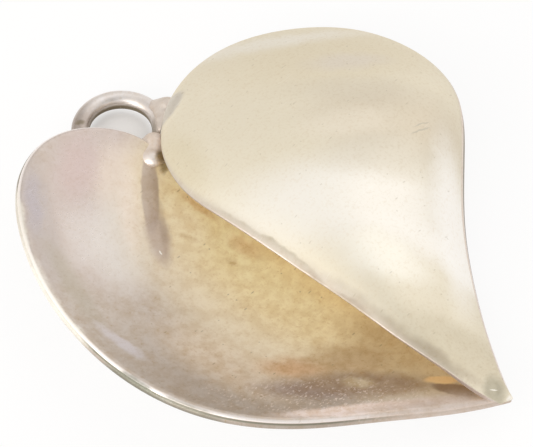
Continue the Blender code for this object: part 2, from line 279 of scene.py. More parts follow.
class Curve:
    """The natural cubic spline through a few points, read by a share of its length."""

    def __init__(self, points, knots=None):
        self.points = np.array(points, float)
        if knots is None:
            steps = np.linalg.norm(np.diff(self.points, axis=0), axis=1)
            knots = np.concatenate(([0.0], np.cumsum(steps))) / steps.sum()
        self.knots = np.array(knots, float)
        self.gaps = np.diff(self.knots)
        self.bend = self.second_differences()

    def second_differences(self):
        """How far the spline bends at each point, with straight ends."""
        count = len(self.points)
        system = np.eye(count)
        right = np.zeros_like(self.points)
        for i in range(1, count - 1):
            before, after = self.gaps[i - 1], self.gaps[i]
            system[i, i - 1 : i + 2] = before, 2 * (before + after), after
            ahead = (self.points[i + 1] - self.points[i]) / after
            behind = (self.points[i] - self.points[i - 1]) / before
            right[i] = 6 * (ahead - behind)
        return np.linalg.solve(system, right)

    def __call__(self, shares):
        """The spline's points at shares of its length."""
        shares = np.atleast_1d(shares)
        k = np.clip(np.searchsorted(self.knots, shares, side="right") - 1, 0, len(self.gaps) - 1)
        gap = self.gaps[k][:, None]
        to_next = (self.knots[k + 1] - shares)[:, None]
        from_last = (shares - self.knots[k])[:, None]
        cubic = (self.bend[k] * to_next**3 + self.bend[k + 1] * from_last**3) / (6 * gap)
        first = (self.points[k] / gap - self.bend[k] * gap / 6) * to_next
        return cubic + first + (self.points[k + 1] / gap - self.bend[k + 1] * gap / 6) * from_last


def in_plan(shares, width, rise):
    """Turns an outline's shares into plan points."""
    return [(across * width, along * (rise if along > 0 else LENGTH)) for across, along in shares]


LEFT_RIM = Curve(in_plan(LEFT_OUTLINE, LEFT_WIDTH, LEFT_LOBE_RISE))
RIGHT_RIM = Curve(in_plan(RIGHT_OUTLINE, RIGHT_WIDTH, RIGHT_LOBE_RISE))


def bearing(spokes):
    """Angles round the dish's centre, anticlockwise from straight down the page."""
    return np.mod(np.arctan2(spokes[:, 0], -spokes[:, 1]), 2 * math.pi)


def steepness_curve():
    """How steeply the dish rises on each bearing, from the named rim heights."""
    marks = [(LEFT_RIM, share, height) for share, height in LEFT_HEIGHTS]
    marks += [(LEFT_RIM, 1.0, TIP_HEIGHT)]
    marks += [(RIGHT_RIM, share, height) for share, height in RIGHT_HEIGHTS]
    found = []
    for rim, share, height in marks:
        spoke = rim(share) - DISH_CENTRE
        reach = np.linalg.norm(spoke) - FLAT_RADIUS
        found.append((bearing(spoke)[0], height / reach**DISH_POWER))
    found.sort()
    # The marks near each end are repeated a full turn away, so that the curve closes
    turn, repeated = 2 * math.pi, 3
    before = [(angle - turn, rise) for angle, rise in found[-repeated:]]
    after = [(angle + turn, rise) for angle, rise in found[:repeated]]
    found = before + found + after
    return Curve([(rise,) for _, rise in found], [angle for angle, _ in found])


STEEPNESS = steepness_curve()


def dish_height(plan):
    """The height of the back sheet's underside at plan points, with a soft start to its rise."""
    spokes = plan - DISH_CENTRE
    beyond = (np.linalg.norm(spokes, axis=1) - FLAT_RADIUS) / FLAT_BLEND
    reach = FLAT_BLEND * np.logaddexp(0, beyond)
    return STEEPNESS(bearing(spokes))[:, 0] * reach**DISH_POWER


def sheet_top(plan):
    """The height of the back sheet's upper face at plan points."""
    step = 0.1 * MM
    slope_x = (dish_height(plan + (step, 0)) - dish_height(plan - (step, 0))) / (2 * step)
    slope_y = (dish_height(plan + (0, step)) - dish_height(plan - (0, step))) / (2 * step)
    return dish_height(plan) + SHEET * np.sqrt(1 + slope_x**2 + slope_y**2)


def unit(vectors):
    """Vectors brought to a length of one."""
    return vectors / np.linalg.norm(vectors, axis=-1, keepdims=True)


def rounded(near, far, outward, bulge):
    """Points round a sheet's edge between its faces: flat in its middle, tight at its corners."""
    points = []
    for i in range(1, RIM_POINTS + 1):
        angle = math.pi * i / (RIM_POINTS + 1)
        share = math.copysign(abs(math.cos(angle)) ** EDGE_SQUARENESS, math.cos(angle))
        middle = (near + far) / 2 + (near - far) / 2 * share
        points.append(middle + outward * bulge * math.sin(angle) ** EDGE_SQUARENESS)
    return points


def add(name, data):
    """A new object in the scene."""
    obj = bpy.data.objects.new(name, data)
    bpy.context.scene.collection.objects.link(obj)
    return obj


def skin(name, loops, wear_and_shade=None, second=None):
    """A closed mesh over closed loops of points, each loop joined to the next.

    The per-point level says which of the later finishes each point takes, among them painted light,
    and second marks the faces that take the second material.
    """
    loops = np.array(loops)
    rows, count = loops.shape[:2]
    faces = []
    for i in range(rows - 1):
        for j in range(count):
            k = (j + 1) % count
            faces.append((i * count + j, i * count + k, (i + 1) * count + k, (i + 1) * count + j))
    slots = [0] * len(faces) if second is None else second.astype(int).ravel().tolist()
    for end in (0, rows - 1):
        if np.ptp(loops[end], axis=0)[:2].max() > WELD:
            faces.append(tuple(range(end * count, (end + 1) * count)))
            slots.append(0)
    mesh = bpy.data.meshes.new(name)
    mesh.from_pydata((loops.reshape(-1, 3) + CLEFT).tolist(), [], faces)
    mesh.polygons.foreach_set("material_index", slots)
    if wear_and_shade is not None:
        mesh.attributes.new("wear_and_shade", "FLOAT", "POINT").data.foreach_set("value", wear_and_shade.ravel())
    bm = bmesh.new()
    bm.from_mesh(mesh)
    bmesh.ops.remove_doubles(bm, verts=bm.verts, dist=WELD)
    bmesh.ops.dissolve_degenerate(bm, edges=bm.edges, dist=WELD)
    bmesh.ops.recalc_face_normals(bm, faces=bm.faces)
    bm.to_mesh(mesh)
    bm.free()
    mesh.shade_smooth()
    mesh.set_sharp_from_angle(angle=SHARP_ANGLE)
    return add(name, mesh)


def back_sheet():
    """The whole heart, dished, with its thick rounded rim."""
    down_left = np.arange(LEFT_SPOKES) / LEFT_SPOKES
    up_right = 1 - np.arange(RIGHT_SPOKES) / RIGHT_SPOKES
    spokes = np.concatenate((LEFT_RIM(down_left), RIGHT_RIM(up_right))) - DISH_CENTRE
    grid = np.zeros((DISH_RINGS, len(spokes), 3))
    for i, ring in enumerate(grid):
        ring[:, :2] = DISH_CENTRE + spokes * (i + 1) / DISH_RINGS
        ring[:, 2] = dish_height(ring[:, :2])
    around = np.roll(grid, -1, axis=1) - np.roll(grid, 1, axis=1)
    normals = unit(np.cross(np.gradient(grid, axis=0, edge_order=2), around))
    normals *= np.sign(normals[..., 2:])
    outward = unit(np.cross(around[-1], normals[-1]))
    outward *= np.sign(((grid[-1] - grid[-2]) * outward).sum(axis=1, keepdims=True))
    upper = grid + SHEET * normals
    rim = []
    for up, out, _ in RIM_PROFILE:
        rim.append(grid[-1] + (upper[-1] - grid[-1]) * up + outward * RIM_CROWN * out)
    loops = list(grid) + rim + list(upper[::-1])
    wear_and_shade = np.zeros((len(loops), len(spokes)))
    # The rim's levels: a polished corner lightened as a painted highlight, the sawn face, and
    # painted shade in its groove
    wear_and_shade[DISH_RINGS : DISH_RINGS + len(rim)] = [[level] for _, _, level in RIM_PROFILE]
    wear_and_shade[DISH_RINGS + len(rim) :][: len(LIP_WEAR)] = [[level] for level in LIP_WEAR]
    underside = np.zeros((len(loops) - 1, len(spokes)), bool)
    underside[: DISH_RINGS - 1] = True
    return skin("back_sheet_dressed", loops, wear_and_shade, underside)


def seat(shares, inset):
    """Points on the back sheet's upper face, in from the right rim by the inset."""
    step = 0.002
    along = RIGHT_RIM(np.minimum(shares + step, 1)) - RIGHT_RIM(np.maximum(shares - step, 0))
    along /= np.linalg.norm(along, axis=1, keepdims=True)
    inward = np.column_stack((along[:, 1], -along[:, 0]))
    plan = RIGHT_RIM(shares) + inward * inset
    slope = (dish_height(plan) - dish_height(plan + inward * SHEET)) / SHEET
    return np.column_stack((plan, dish_height(plan) + SHEET * np.sqrt(1 + slope**2)))


def seam_points(shares):
    """The shell's outer edge: full thickness at the cleft, a low step after it, thin at the tip."""
    points = seat(SHELL_START + (SHELL_END - SHELL_START) * shares, LEDGE)
    full = SHEET + SOLDER_FILM - SEAM_RISE
    points[:, 2] += SEAM_RISE + full * np.maximum(1 - shares / END_SHARE, 0) ** 2
    points[:, 2] -= TIP_THINNING * np.maximum(1 - (1 - shares) / END_SHARE, 0) ** 2
    points[:, :2] += TIP_REACH * np.maximum(1 - (1 - shares) / TIP_SHARE, 0)[:, None] ** 2
    return points


def free_edge():
    """The shell's free edge, from its upper corner to its tip."""
    middle = [(a * EDGE_OVERHANG, b * LENGTH, c * EDGE_HEIGHT) for a, b, c in FREE_EDGE]
    corner = LEFT_RIM(EDGE_END)
    end = (*(corner[0] + EDGE_END_REACH), sheet_top(corner)[0] + EDGE_END_RISE)
    return Curve([seam_points(np.zeros(1))[0]] + middle + [end])


FREE_EDGE_CURVE = free_edge()


def relief(plan):
    """How far the shell's face rises or sinks: solder by the cleft, and a dent at the tip."""
    total = np.zeros(len(plan))
    for x, y, half_length, half_width, turn, rise in SHELL_RELIEF:
        cos_t, sin_t = math.cos(math.radians(turn)), math.sin(math.radians(turn))
        dx, dy = plan[:, 0] / MM - x, plan[:, 1] / MM - y
        along = (dx * cos_t + dy * sin_t) / half_length
        across = (dy * cos_t - dx * sin_t) / half_width
        total += rise * MM * np.exp(-((along**2 + across**2) ** 2))
    return total


def dome(along, across):
    """The shell's outer face. across runs from 0, the free edge, to 1, the soldered edge."""
    start = FREE_EDGE_CURVE(along)
    points = start + (seam_points(along) - start) * across[:, None]
    lengthwise = np.sin(math.pi * np.clip(along, 0, 1)) ** DOME_FULLNESS
    points[:, 2] += DOME_RISE * lengthwise * (1 - np.abs(2 * across - 1) ** DOME_SQUARENESS)
    points[:, 2] += relief(points[:, :2])
    return points


def shell_thickness(top):
    """From the shell's lower face to its outer one: square to the free edge, upright elsewhere."""
    upright = np.array((0.0, 0.0, 1.0))
    normals = np.cross(np.gradient(top, axis=1), np.gradient(top, axis=0))[1:-1]
    normals = unit(normals * np.sign(normals[..., 2:]))
    along = np.linspace(0, 1, len(top))[1:-1, None, None]
    across = np.linspace(0, 1, top.shape[1])[None, :, None]
    steep = upright * np.minimum(1 / normals[..., 2:], STEEPEST)
    square = np.sin(math.pi * along)
    inner = steep + (normals - steep) * (1 - across) ** 2
    thickness = np.broadcast_to(upright, top.shape).copy()
    thickness[1:-1] += (inner - upright) * square
    from_cleft = np.linspace(0, 1, len(top))[:, None, None] / END_SHARE
    thinning = np.maximum(1 - across / EDGE_TAPER, 0) ** 2 * np.minimum(from_cleft, 1)
    return (SHEET + (EDGE_SHEET - SHEET) * thinning) * thickness


def front_shell():
    """The domed right half, which sits flush on the back sheet along its outer edge."""
    across = np.linspace(0, 1, RIB_POINTS)
    ribs = (1 - np.cos(np.linspace(0, math.pi, RIBS))) / 2
    top = np.array([dome(np.full(RIB_POINTS, share), across) for share in ribs])
    bottom = top - shell_thickness(top)
    for upper, lower in zip(top, bottom):
        lower[:, 2] = np.minimum(np.maximum(lower[:, 2], sheet_top(lower[:, :2])), upper[:, 2])
    loops = []
    for share, upper, lower in zip(ribs, top, bottom):
        seam_side = rounded(upper[-1], lower[-1], np.zeros(3), 0)
        outward = upper[0] - upper[1]
        bulge = RIM_CROWN * math.sin(math.pi * share) / max(np.linalg.norm(outward), RIM_CROWN)
        free_side = rounded(lower[0], upper[0], outward, bulge)
        loops.append(list(upper) + seam_side + list(lower[::-1]) + free_side)
    wear_and_shade = np.zeros((RIBS, len(loops[0])))
    # Painted shade on the free edge's face and on the band behind it
    wear_and_shade[:, -RIM_POINTS:] = 2
    wear_and_shade[:, : len(EDGE_SHADE)] = EDGE_SHADE
    underside = np.zeros((RIBS - 1, len(loops[0])), bool)
    underside[:, RIB_POINTS + RIM_POINTS : -RIM_POINTS - 1] = True
    return skin("front_shell_dressed", loops, wear_and_shade, underside)


def ring_frame():
    """The hanging ring's place and turn in the model's frame."""
    turn = Matrix.Rotation(RING_HEADING, 4, "Z") @ Matrix.Rotation(-RING_TILT, 4, "X")
    return Matrix.Translation(RING_PLACE) @ turn


def hanging_ring():
    """The closed ring of round wire, with painted shade on its inner side."""
    turns = np.linspace(0, 2 * math.pi, RING_SEGMENTS + 1)
    angles = np.linspace(0, 2 * math.pi, WIRE_SEGMENTS, endpoint=False)
    reach = (RING_BORE + WIRE) / 2 + WIRE / 2 * np.cos(angles)
    loops = np.zeros((RING_SEGMENTS + 1, WIRE_SEGMENTS, 3))
    loops[..., 0] = np.cos(turns)[:, None] * reach
    loops[..., 1] = np.sin(turns)[:, None] * reach
    loops[..., 2] = WIRE / 2 * np.sin(angles)
    placed = np.array(ring_frame())
    loops = loops @ placed[:3, :3].T + placed[:3, 3] - CLEFT
    # Painted shade along the wire's inner side, turned a little round the wire
    inner_shade = np.clip((-np.cos(angles - INNER_SHADE_TURN) - INNER_SHADE_START) / INNER_SHADE_GROWTH, 0, 1)
    wear_and_shade = np.broadcast_to(inner_shade, loops.shape[:2]).copy()
    return skin("hanging_ring_dressed", loops, wear_and_shade)


# Solder, as balls of metal that run together: each ball's middle, from the cleft, and its size, in
# millimetres
CLEFT_BALLS = (
    ((-0.4, 0.9, 2.56), (1.3, 2.4, 0.8)),
    ((0.5, 0.8, 2.5), (2.0, 2.2, 1.4)),
    ((-0.7, 0.1, 2.65), (2.2, 2.2, 0.9)),
    ((-0.95, -0.25, 2.85), (1.4, 1.6, 0.95)),
    ((-0.2, -0.6, 2.5), (1.6, 1.2, 0.6)),
)
TIP_BALLS = (
    ((-1.0, -36.4, 2.5), (0.8, 1.5, 0.45)),
    ((-0.8, -37.0, 2.5), (0.7, 1.0, 0.45)),
    ((-0.22, -37.9, 2.8), (0.7, 0.7, 0.6)),
)
RIGHT_BALLS = (
    ((4.0, 4.0, 1.15), (1.5, 1.4, 0.8)),
    ((4.05, 3.6, 1.5), (1.5, 1.5, 1.0)),
    ((4.15, 3.2, 1.85), (1.6, 1.5, 1.1)),
    ((4.4, 2.8, 2.15), (1.5, 1.5, 1.1)),
    ((3.6, 2.75, 1.85), (1.5, 1.5, 1.1)),
    ((2.95, 2.1, 1.95), (1.4, 1.3, 1.1)),
    ((2.35, 1.5, 2.0), (1.3, 1.3, 1.1)),
)
LEFT_BALLS = (
    ((-1.5, 2.1, 2.1), (2.0, 1.8, 1.9)),
    ((-1.0, 2.6, 1.5), (1.8, 1.8, 1.7)),
)


def blob(name, balls):
    """A lump of solder: balls of metal that flow together."""
    data = bpy.data.metaballs.new(name)
    data.resolution = SOLDER_GRID
    data.threshold = SOLDER_LEVEL
    for middle, size in balls:
        element = data.elements.new(type="ELLIPSOID")
        element.co = middle
        element.radius = SOLDER_REACH
        element.size_x, element.size_y, element.size_z = Vector(size) / 2
    flowing = add(name + "_balls", data)
    mesh = bpy.data.meshes.new_from_object(
        flowing.evaluated_get(bpy.context.evaluated_depsgraph_get())
    )
    bpy.data.objects.remove(flowing)
    bm = bmesh.new()
    bm.from_mesh(mesh)
    for _ in range(SOLDER_PASSES):
        bmesh.ops.smooth_vert(
            bm,
            verts=bm.verts,
            factor=SOLDER_EASE,
            use_axis_x=True,
            use_axis_y=True,
            use_axis_z=True,
        )
    bm.to_mesh(mesh)
    bm.free()
    mesh.transform(Matrix.Translation(Vector(CLEFT)) @ Matrix.Scale(MM, 4))
    mesh.shade_smooth()
    return add(name, mesh)


def seam_solder():
    """The thread of solder in the corner between the rim and the shell."""
    path = seat(np.linspace(SEAM_START, SEAM_END, RIGHT_SPOKES * 2), LEDGE)
    path[:, 2] += SEAM_LIFT
    ahead = unit(np.gradient(path, axis=0))
    side = unit(np.cross(ahead, (0, 0, 1)))
    rise = np.cross(side, ahead)
    loops = []
    for point, out, up in zip(path, side, rise):
        loop = []
        for j in range(SEAM_POINTS):
            angle = 2 * math.pi * j / SEAM_POINTS
            loop.append(point + (out * math.cos(angle) + up * math.sin(angle)) * SEAM_SIZE / 2)
        loops.append(loop)
    return skin("seam_solder_dressed", loops)


def feed(tree, socket, value):
    """Gives a shader socket a link or a constant."""
    if isinstance(value, bpy.types.NodeSocket):
        tree.links.new(value, socket)
    else:
        socket.default_value = value


def node(tree, kind, inputs=None, **settings):
    """Adds a shader node, with its settings, constants and links."""
    made = tree.nodes.new("ShaderNode" + kind)
    for key, value in settings.items():
        setattr(made, key, value)
    for key, value in (inputs or {}).items():
        feed(tree, made.inputs[key], value)
    return made


def mixed(tree, share, first, second, kind="RGBA"):
    """Blends two values or colours by a share, and returns the result's socket."""
    made = node(tree, "Mix", data_type=kind)
    slots = {"FLOAT": (2, 3, 0), "RGBA": (6, 7, 2)}[kind]
    for slot, value in zip((0, *slots[:2]), (share, first, second)):
        feed(tree, made.inputs[slot], (*value, 1) if isinstance(value, tuple) else value)
    return made.outputs[slots[2]]


def maths(tree, operation, *values):
    """The result of one operation on values or sockets."""
    return node(tree, "Math", dict(enumerate(values)), operation=operation).outputs[0]


def ranged(tree, value, low, high, to_low=0.0, to_high=1.0):
    """A value eased from one range to another."""
    inputs = {
        "Value": value,
        "From Min": low,
        "From Max": high,
        "To Min": to_low,
        "To Max": to_high,
    }
    return node(tree, "MapRange", inputs, interpolation_type="SMOOTHSTEP").outputs[0]


def noise(tree, place, scale, detail, roughness):
    """Soft noise, with its scale in features for each millimetre."""
    inputs = {"Vector": place, "Scale": scale, "Detail": detail, "Roughness": roughness}
    return node(tree, "TexNoise", inputs)


def blotches(tree, place, scale, detail, roughness, none, full):
    """Marks that grow from none at one value of the noise to full at another."""
    return ranged(tree, noise(tree, place, scale, detail, roughness).outputs[0], none, full)


def stretched(tree, place, turn, along, across):
    """Coordinates turned and stretched, for marks that run one way."""
    inputs = {"Vector": place, "Rotation": (0, 0, math.radians(turn)), "Scale": (along, across, 1)}
    return node(tree, "Mapping", inputs).outputs[0]


def scratches(tree, place, turn, rarity):
    """Fine straight scratches that run one way, with breaks. The rarer, the fewer and finer."""
    drawn = stretched(tree, place, turn, *SCRATCH_STRETCH)
    lines = noise(tree, drawn, *SCRATCH_LINES).outputs[0]
    shown = ranged(tree, lines, rarity, rarity + SCRATCH_BORDER)
    return maths(tree, "MULTIPLY", shown, blotches(tree, place, *BREAKS))


def pits(tree, place, spacing, size, share):
    """Small pits at random places in plan. Share is how many of the places have one."""
    inputs = {"Vector": place, "Scale": 1 / spacing, "Randomness": 1.0}
    cells = node(tree, "TexVoronoi", inputs, voronoi_dimensions="2D")
    chosen = node(tree, "SeparateColor", {0: cells.outputs["Color"]}).outputs[0]
    distance = cells.outputs["Distance"]
    wide = ranged(tree, distance, size / spacing, PIT_CORE * size / spacing)
    return maths(tree, "MULTIPLY", wide, maths(tree, "LESS_THAN", chosen, share))


def dents(tree, place):
    """Round pits, and short cuts that run two ways."""
    dots = pits(tree, place, *PITS)
    for turn, along, spacing, size, share in CUTS:
        short = pits(tree, stretched(tree, place, turn, along, 1.0), spacing, size, share)
        dots = maths(tree, "MAXIMUM", dots, short)
    return dots


def patch_share(tree, place, shift, patch):
    """How much of a patch shows: one inside its oval, falling to none outside.

    The softer the patch, the more ragged its border.
    """
    x, y, half_length, half_width, turn, soft, strength = patch[:PATCH_VALUES]
    inputs = {0: shift, 1: (RAGGED * soft, RAGGED * soft, 0.0), 2: place}
    ragged = node(tree, "VectorMath", inputs, operation="MULTIPLY_ADD").outputs[0]
    inputs = {
        "Vector": ragged,
        "Location": (x, y, 0),
        "Rotation": (0, 0, math.radians(turn)),
        "Scale": (half_length, half_width, PATCH_DEPTH),
    }
    local = node(tree, "Mapping", inputs, vector_type="TEXTURE").outputs[0]
    reach = node(tree, "VectorMath", {0: local}, operation="LENGTH").outputs["Value"]
    return ranged(tree, reach, 1 - soft, 1 + soft, strength, 0.0)


def layered(tree, place, shift, finish, patches, worn_and_shaded, overlays):
    """A finish under its patches, then the finishes picked by the per-point level, then the
    overlays.
    """
    layers = []
    for patch in patches:
        layers.append((patch_share(tree, place, shift, patch), patch[PATCH_VALUES:]))
    for level, over in enumerate(worn_and_shaded):
        wear_and_shade = node(tree, "Attribute", attribute_name="wear_and_shade").outputs["Fac"]
        layers.append((maths(tree, "SUBTRACT", wear_and_shade, float(level)), over))
    for patch in overlays:
        layers.append((patch_share(tree, place, shift, patch), patch[PATCH_VALUES:]))
    colour, *values = finish
    for share, (over_colour, *over_values) in layers:
        colour = mixed(tree, share, colour, over_colour)
        pairs = zip(values, over_values)
        values = [mixed(tree, share, value, over, "FLOAT") for value, over in pairs]
    return colour, *values


def mottling(tree, place, fine, mottled):
    """How far the tone darkens: clouds, specks and crumpled scale, and fine noise over all."""
    shade = maths(tree, "MAXIMUM", blotches(tree, place, *CLOUDS), blotches(tree, place, *SPECKS))
    shade = maths(tree, "MULTIPLY", shade, mottled)
    crumple = maths(tree, "MULTIPLY", blotches(tree, place, *CRUMPLE), mottled)
    shade = maths(tree, "ADD", shade, maths(tree, "MULTIPLY", crumple, CRUMPLE_SHARE))
    return maths(tree, "ADD", shade, ranged(tree, fine, *FINE_SHADE))


def nicks(tree, place, shift, patch):
    """Clusters of short nicks inside a patch, painted bright as glints."""
    short = blotches(tree, stretched(tree, place, *NICK_STRETCH), *NICKS)
    short = maths(tree, "MULTIPLY", short, blotches(tree, place, *CLUSTERS))
    return maths(tree, "MULTIPLY", short, patch_share(tree, place, shift, patch))


def silver(name, finish, patches=(), worn_and_shaded=(), overlays=(), sparkle=None, grain=0.04, marks=0.5):
    """Worn silver: a base finish, patches of tarnish and painted light over it, grain, scratches
    and pits.

    A finish is a colour, a roughness, a metallic share and how strongly it is mottled. A patch is
    x, y, half length, half width, turn, softness and strength, in millimetres from the cleft and
    degrees, and then its finish. Each of the later finishes takes over where the mesh's per-point
    level passes its place in the list, and overlays are patches over those; both hold painted
    highlights and shade. Sparkle is a patch of short nicks, painted bright as glints.
    """
    made = bpy.data.materials.new(name)
    made.use_nodes = True
    tree = made.node_tree
    shader = tree.nodes["Principled BSDF"]
    where = node(tree, "TexCoord").outputs["Object"]
    inputs = {0: where, 1: (1 / MM,) * 3, 2: tuple(-CLEFT / MM)}
    place = node(tree, "VectorMath", inputs, operation="MULTIPLY_ADD").outputs[0]
    drift = noise(tree, place, *DRIFT).outputs["Color"]
    # The drift about its middle value, in plan alone
    inputs = {0: drift, 1: (1.0, 1.0, 0.0), 2: (-0.5, -0.5, 0.0)}
    shift = node(tree, "VectorMath", inputs, operation="MULTIPLY_ADD").outputs[0]

    fine = noise(tree, place, *FINE).outputs[0]
    dots = dents(tree, place)
    colour, rough, metal, mottled = layered(tree, place, shift, finish, patches, worn_and_shaded, overlays)
    darker = mixed(tree, 1.0, colour, TARNISH_TINT)
    darker.node.blend_type = "MULTIPLY"
    tone = mixed(tree, mottling(tree, place, fine, mottled), colour, darker)
    if sparkle:
        tone = mixed(tree, nicks(tree, place, shift, sparkle), tone, NICK_COLOUR)
    first, second = (scratches(tree, place, turn, rarity) for turn, rarity in SCRATCHES)
    lines = maths(tree, "MULTIPLY", maths(tree, "MAXIMUM", first, second), marks)
    tone = mixed(tree, maths(tree, "MULTIPLY", lines, SCRATCH_SHARE), tone, SCRATCH_COLOUR)
    shown = maths(tree, "MULTIPLY", dots, maths(tree, "MAXIMUM", mottled, marks / 2))
    tone = mixed(tree, shown, tone, PIT_COLOUR)

    height = maths(tree, "MULTIPLY", fine, grain)
    height = maths(tree, "SUBTRACT", height, maths(tree, "MULTIPLY", dots, marks / 2))
    inputs = {"Height": height, "Distance": BUMP_DEPTH, "Strength": BUMP_STRENGTH}
    bumps = node(tree, "Bump", inputs).outputs[0]
    uneven = maths(tree, "ADD", rough, ranged(tree, fine, *FINE_ROUGHNESS))
    feed(tree, shader.inputs["Base Color"], tone)
    feed(tree, shader.inputs["Roughness"], uneven)
    feed(tree, shader.inputs["Metallic"], metal)
    feed(tree, shader.inputs["Normal"], bumps)
    return made


def camera():
    """The camera at the photograph's viewing angle."""
    cos_e = math.cos(CAMERA_ELEVATION)
    look = Vector((
        -math.sin(CAMERA_AZIMUTH) * cos_e,
        math.cos(CAMERA_AZIMUTH) * cos_e,
        -math.sin(CAMERA_ELEVATION),
    ))
    right = Vector((math.cos(CAMERA_AZIMUTH), math.sin(CAMERA_AZIMUTH), 0))
    turn = Matrix((right, right.cross(look), -look)).transposed().to_4x4()
    data = bpy.data.cameras.new("camera")
    data.sensor_width = SENSOR
    data.lens = LENS
    data.clip_start = CLIP_NEAR
    data.clip_end = CLIP_FAR
    obj = add("camera", data)
    obj.matrix_world = Matrix.Translation(Vector(CAMERA_TARGET) - look * CAMERA_DISTANCE) @ turn
    bpy.context.scene.camera = obj


def floor():
    """A plain white floor, with a painted shade in a circle round the ring, where less of it is
    white.
    """
    bpy.ops.mesh.primitive_plane_add(size=FLOOR_SIZE)
    obj = bpy.context.object
    obj.name = "floor"
    made = bpy.data.materials.new("floor")
    made.use_nodes = True
    tree = made.node_tree
    tree.nodes.clear()
    rays = node(tree, "LightPath").outputs
    seen = maths(tree, "ADD", rays["Is Camera Ray"], rays["Is Glossy Ray"])
    seen = maths(tree, "ADD", seen, rays["Is Transmission Ray"])
    where = node(tree, "TexCoord").outputs["Object"]
    inputs = {0: where, 1: (RING_PLACE[0], RING_PLACE[1], 0)}
    from_ring = node(tree, "VectorMath", inputs, operation="DISTANCE").outputs["Value"]
    # Painted shade: less of the white in a circle round the ring, where the floor's real shadow
    # then shows
    shade = ranged(tree, from_ring, SHADE_REACH, SHADE_CORE, FLOOR_WHITE, FLOOR_SHADED)
    pale = node(tree, "BsdfDiffuse", {"Color": FLOOR_COLOUR})
    white = node(tree, "Emission", {"Color": (1, 1, 1, 1), "Strength": 1.0})
    share = maths(tree, "MULTIPLY", seen, shade)
    mix = node(tree, "MixShader", {0: share, 1: pale.outputs[0], 2: white.outputs[0]})
    node(tree, "OutputMaterial", {"Surface": mix.outputs[0]})
    obj.data.materials.append(made)


def direction(azimuth, elevation):
    """The way from the pendant to a place in the studio. Azimuth 0 is in front, 90 to the right."""
    a, e = math.radians(azimuth), math.radians(elevation)
    return (math.sin(a) * math.cos(e), -math.cos(a) * math.cos(e), math.sin(e))


def soft_light(name, azimuth, elevation, distance, size, power):
    """A square soft box that faces the pendant."""
    data = bpy.data.lights.new(name, "AREA")
    data.size = size
    data.energy = power
    obj = add(name, data)
    way = Vector(direction(azimuth, elevation))
    obj.location = way * distance
    obj.rotation_euler = way.to_track_quat("Z", "Y").to_euler()


def within(tree, way, azimuth, elevation, near, far):
    """One within an angle of a place in the studio, falling to none at a wider one."""
    inputs = {0: way, 1: direction(azimuth, elevation)}
    cosine = node(tree, "VectorMath", inputs, operation="DOT_PRODUCT").outputs["Value"]
    return ranged(tree, cosine, math.cos(math.radians(far)), math.cos(math.radians(near)))


def world():
    """A pale studio: lighter overhead than low down, bright at both sides and darker in front."""
    made = bpy.data.worlds.new("studio")
    made.use_nodes = True
    tree = made.node_tree
    way = node(tree, "TexCoord").outputs["Generated"]
    height = node(tree, "SeparateXYZ", {0: way}).outputs["Z"]
    tone = mixed(tree, ranged(tree, height, *STUDIO_HEIGHTS), STUDIO_LOW, STUDIO_HIGH)
    for azimuth, elevation, near, far, part in STUDIO_PARTS:
        tone = mixed(tree, within(tree, way, azimuth, elevation, near, far), tone, part)
    feed(tree, tree.nodes["Background"].inputs["Color"], tone)
    bpy.context.scene.world = made


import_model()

sheet = back_sheet()
shell = front_shell()
ring = hanging_ring()
seam = seam_solder()
cleft_bead = blob("cleft_solder_dressed", CLEFT_BALLS)
tip_lump = blob("tip_solder_dressed", TIP_BALLS)
right_fillet = blob("ring_solder_right_dressed", RIGHT_BALLS)
left_fillet = blob("ring_solder_left_dressed", LEFT_BALLS)
